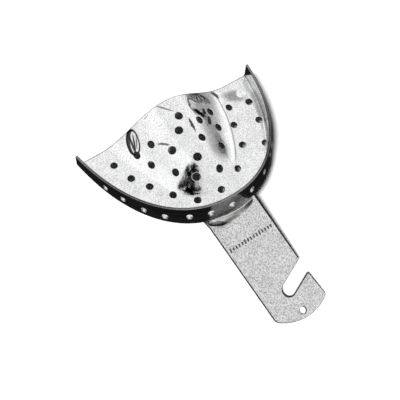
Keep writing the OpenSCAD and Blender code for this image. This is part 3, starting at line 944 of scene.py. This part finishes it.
def flank_foot_highlight(tree, at, shade, height):
    """A painted highlight along the foot of the right flank, with a thin line of painted shade outside it.
    """
    r = oval(tree, at, -30, 22, 50.3, 50.3, 0)
    stretch = between(tree, oval(tree, at, 16, 8.5, 16.5, 6, 70), 0.9, 1.05, 1.0, 0.0)
    bright = both(tree, band(tree, r, 1.0, 0.014), stretch, 0.16)
    shade = calc(tree, "MULTIPLY", shade, calc(tree, "ADD", 1.0, bright))
    return darkened(tree, shade, band(tree, r, 1.022, 0.006), stretch, 0.5), height


def crease_shade_and_scuff(tree, at, shade, height):
    """Creases across the crown and at the back, drawn as lines of painted shade, and a scuff on the left
    flank, which is wear.
    """
    return dashed(tree, at, shade, CREASE_SHADE_AND_SCUFF, 0.9), height


def shade_halo_and_highlight(tree, at, shade, height):
    """A halo of painted shade with a painted highlight spot in it, right rear of the floor."""
    halo = between(tree, oval(tree, at, 27.6, 17.0, 5.4, 3.0, -30, 1.2), 0.45, 1.1, 0.55, 0.0)
    spot = oval(tree, at, 30.4, 16.6, 2.0, 1.9, 0, 0.6)
    shade = darkened(tree, shade, halo, between(tree, spot, 0.8, 1.1, 0.0, 1.0))
    return calc(tree, "MULTIPLY", shade, between(tree, spot, 0.7, 1.0, 1.1, 1.0)), height


def back_edge_shade_line(tree, at, shade, height):
    """A broken line of painted shade along the cut back edge."""
    dot = tree.nodes.new("ShaderNodeVectorMath")
    dot.operation = "DOT_PRODUCT"
    dot.inputs[1].default_value = (-BACK_SLANT, 1, 0)
    tree.links.new(at, dot.inputs[0])
    edge = ORIGIN.y - BACK_SLANT * ORIGIN.x + BACK_Y * MM
    line = between(tree, dot.outputs["Value"], edge - 0.6 * MM, edge - 0.3 * MM, 0.0, 1.0)
    broken = between(tree, noise(tree, at, 700, 3, 0.6), 0.36, 0.5, 0.5, 0.9)
    return darkened(tree, shade, line, broken), height


def inner_wall_streaks(tree, at, shade, height):
    """Darker streaks along the inside of the walls."""
    inset = 1.4
    r = oval(tree, at, 0, CENTRE_Y, ARCH_WIDTH - inset, ARCH_DEPTH - inset, 0)
    wall = between(tree, r, 0.995, 1.02, 0.0, 1.0)
    streaks = between(tree, noise(tree, at, 900, 3, 0.6, (0.08, 0.08, 1.0)), 0.42, 0.6, 0.0, 0.45)
    return darkened(tree, shade, wall, streaks), height


def front_wall_shade(tree, at, shade, height):
    """Painted shade in mottled patches on the outside of the front wall, above the solder."""
    region = between(tree, oval(tree, at, -1.5, -22.9, 8.6, 0.95, 7), 0.75, 1.1, 1.0, 0.0)
    shade_patch = noise(tree, at, 380, 5, 0.7, (0.7, 1, 1.8), 0.8)
    return darkened(tree, shade, between(tree, shade_patch, 0.36, 0.56, 0.7, 0.0), region), height


def shell_marks(tree, at, shade, height):
    for mark in (press_mark, wrinkles, flank_shade_strip, flank_foot_highlight, crease_shade_and_scuff, shade_halo_and_highlight, back_edge_shade_line,
                 inner_wall_streaks, front_wall_shade):
        shade, height = mark(tree, at, shade, height)
    return shade, height


def handle_painted_shade(tree, at, shade, height):
    """A soft painted reflection of the dark wall in front of the solder, strongest on the left."""
    shade_patch = between(tree, oval(tree, at, -3.6, -24.6, 5.6, 1.45, 3, 0.8), 0.3, 1.2, 0.6, 0.0)
    patchy = between(tree, noise(tree, at, 500, 4, 0.7), 0.35, 0.6, 1.0, 0.35)
    return darkened(tree, shade, shade_patch, patchy), height


def bead_painted_shade(tree, at, shade, height):
    """Painted shade round the left end of the bead and along its lower edge, fading to the right."""
    nose = between(tree, oval(tree, at, -8.9, -23.2, 1.5, 1.1, 20, 0.6), 0.4, 1.15, 0.85, 0.0)
    return dashed(tree, at, darkened(tree, shade, nose), BEAD_SHADE_DASHES, 0.5), height


def rough_surface(name, lightness, rough, grain_scale, rough_scale):
    """A plain matt surface: a patchy grey of this lightness, with uneven roughness."""
    mat, tree, bsdf, at = new_material(name)
    grey = between(tree, noise(tree, at, *grain_scale), 0.3, 0.7, *lightness)
    tree.links.new(tinted(tree, grey, (1, 1, 1)), bsdf.inputs["Base Color"])
    tree.links.new(between(tree, noise(tree, at, rough_scale), 0.3, 0.7, *rough), bsdf.inputs["Roughness"])
    return mat, tree, bsdf, at


polished = metal("polished_steel_pressed", (0.92, 0.923, 0.928), rough=(0.04, 0.13), grain=0.38,
                 grain_scale=2300, waviness=0.16, marks=shell_marks)
satin = metal("satin_steel_handle", (0.85, 0.85, 0.855), rough=(0.3, 0.42), grain=0.6,
              grain_scale=1900, waviness=0.06, marks=handle_painted_shade)
solder = metal("flowed_silver_solder", (0.9, 0.895, 0.88), rough=(0.2, 0.34), grain=0.35,
               grain_scale=2100, waviness=0.7, marks=bead_painted_shade)
# cut metal, duller than the faces, with its dark grey partly a painted shade that outlines the edges
cut_edge_and_outline_shade = metal("cut_edge_painted_dark", (0.3, 0.3, 0.305), rough=(0.35, 0.5), grain=0.5,
                 grain_scale=2000, waviness=0.05)
# the stamp's recesses are painted near black: painted shade in the hollows
stamp_recess_shade, tree, bsdf, at = rough_surface("stamp_recess_painted_shade", (0.02, 0.06), (0.55, 0.8), (2500, 3, 0.7), 1200)
tree.links.new(bump(tree, noise(tree, at, 3000), 0.4, 0.00003), bsdf.inputs["Normal"])

for obj, mat, node, slot in ((shell, polished, "tray_shell", "polished_steel"),
                             (handle, satin, "handle_plate", "satin_steel"),
                             (bead, solder, "solder_bead", "solder")):
    obj.data.materials.append(mat)
    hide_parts(node)
    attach(obj, "root")
shell.data.materials.append(cut_edge_and_outline_shade)
handle.data.materials.append(stamp_recess_shade)
handle.data.materials.append(cut_edge_and_outline_shade)

# ---- plain pale floor just under the lowest point
low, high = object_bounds()
centre = (low + high) / 2
FLOOR_HALF, FLOOR_STEPS, FLOOR_GAP = 0.9, 24, 0.0002


def floor_mesh():
    steps = np.linspace(-FLOOR_HALF, FLOOR_HALF, FLOOR_STEPS + 1)
    verts = [(x, y, 0) for y in steps for x in steps]
    n = FLOOR_STEPS + 1
    faces = [(j * n + i, j * n + i + 1, (j + 1) * n + i + 1, (j + 1) * n + i)
             for j in range(FLOOR_STEPS) for i in range(FLOOR_STEPS)]
    mesh = bpy.data.meshes.new("studio_floor")
    mesh.from_pydata(verts, [], faces)
    return link("studio_floor", mesh)


floor = floor_mesh()
floor.location = (centre.x, centre.y, low.z - FLOOR_GAP)
paper = rough_surface("pale_paper_floor", (0.93, 0.96), (0.8, 0.95), (300,), 700)[0]
floor.data.materials.append(paper)
floor.visible_glossy = False

# ---- camera at the photographed angle, placed in tray millimetres
scene = bpy.context.scene
CAM_AT = Vector((-105.73, -143.96, 304.68))
AZ, EL, ROLL = math.radians(-37.168), math.radians(61.623), math.radians(5.355)
SENSOR, FOCAL_WIDTHS = 36, 2.4823      # film width, and the focal length in film widths
cam_back = Vector((math.sin(AZ) * math.cos(EL), -math.cos(AZ) * math.cos(EL), math.sin(EL)))
level = Vector((math.cos(AZ), math.sin(AZ), 0))
steep = cam_back.cross(level)
cam_right = level * math.cos(ROLL) + steep * math.sin(ROLL)
cam_up = cam_back.cross(cam_right)
cam = bpy.data.cameras.new("camera")
cam_obj = bpy.data.objects.new("camera", cam)
scene.collection.objects.link(cam_obj)
scene.camera = cam_obj
cam.sensor_width = SENSOR
cam.lens = FOCAL_WIDTHS * SENSOR
turned = Matrix((cam_right, cam_up, cam_back)).transposed().to_4x4()
cam_obj.matrix_world = Matrix.Translation(ORIGIN + CAM_AT * MM) @ turned
cam.clip_start, cam.clip_end = 0.01, 20

# ---- soft light for the floor, from just above the camera
AIM = Vector((0, -8, 0))       # the middle of the object, in tray millimetres
SUN_ENERGY, SUN_SIZE = 4.3, math.radians(5.5)
SUN_OFF = math.radians(7)      # to the picture's left of the camera, so the holes show shaded floor
to_camera = (CAM_AT - AIM).normalized()
sun = bpy.data.lights.new("soft_key", "SUN")
sun.energy = SUN_ENERGY
sun.angle = SUN_SIZE
sun_obj = bpy.data.objects.new("soft_key", sun)
scene.collection.objects.link(sun_obj)
sun_from = (to_camera * math.cos(SUN_OFF) - cam_right * math.sin(SUN_OFF)).normalized()
sun_obj.rotation_mode = "QUATERNION"
sun_obj.rotation_quaternion = (-sun_from).to_track_quat("-Z", "Y")
sun_obj.visible_glossy = False

# ---- studio surroundings, which only the metal reflects: dark below, bright above, and its patches
HORIZON, UPPER = (-0.04, 0.1, 0.014, 0.42), (0.1, 0.45, 0.0, 0.62)     # heights from, to, light from, to
STUDIO_PATCHES = (      # direction, radius and softness in degrees, factor on the light
    ((-0.71, 0.2, 0.67), 24, 10, 0.93),
    ((-0.5, 0.1, 0.86), 13, 9, 1.3),
    ((0.85, 0.24, 0.47), 8, 6, 1.12),
    ((0.0, 1.0, 0.05), 36, 12, 0.3),
    ((0.37, -0.39, 0.85), 18, 12, 0.95),
    ((-0.33, -0.42, 0.85), 25, 7, 0.84))
DARK_PLACES = (         # direction, radius in degrees, raggedness
    ((-0.31, -0.40, 0.86), 15, 0.2),
    ((-0.5, -0.22, 0.84), 8, 0.12))
DARK_SOFTNESS, RAGGED_SCALE = 2, 8.0

world = bpy.data.worlds.new("studio")
scene.world = world
world.use_nodes = True
world.cycles_visibility.diffuse = False
studio = world.node_tree
studio.nodes.clear()
world_out = studio.nodes.new("ShaderNodeOutputWorld")
background = studio.nodes.new("ShaderNodeBackground")
studio.links.new(background.outputs[0], world_out.inputs[0])
way = studio.nodes.new("ShaderNodeTexCoord").outputs["Generated"]


def facing(direction):
    """Cosine of the angle between the looking direction and this one."""
    dot = studio.nodes.new("ShaderNodeVectorMath")
    dot.operation = "DOT_PRODUCT"
    dot.inputs[1].default_value = Vector(direction).normalized()
    studio.links.new(way, dot.inputs[0])
    return dot.outputs["Value"]


def patch(light, direction, radius, soft, factor, ragged=0.0):
    """Multiplies the light by a factor within a cone of this radius in degrees."""
    near = facing(direction)
    if ragged:
        uneven = calc(studio, "SUBTRACT", noise(studio, way, RAGGED_SCALE, 5, 0.65), 0.5)
        near = calc(studio, "ADD", near, calc(studio, "MULTIPLY", uneven, ragged))
    edge_in, edge_out = math.cos(math.radians(radius - soft)), math.cos(math.radians(radius + soft))
    return calc(studio, "MULTIPLY", light, between(studio, near, edge_out, edge_in, 1.0, factor))


height = facing((0, 0, 1))
light = calc(studio, "ADD", between(studio, height, *HORIZON), between(studio, height, *UPPER))
for direction, radius, soft, factor in STUDIO_PATCHES:
    light = patch(light, direction, radius, soft, factor)
for direction, radius, ragged in DARK_PLACES:
    light = patch(light, direction, radius, DARK_SOFTNESS, 0.0, ragged)
studio.links.new(light, background.inputs["Color"])
background.inputs["Strength"].default_value = 1.0

scene.view_settings.view_transform = "Standard"
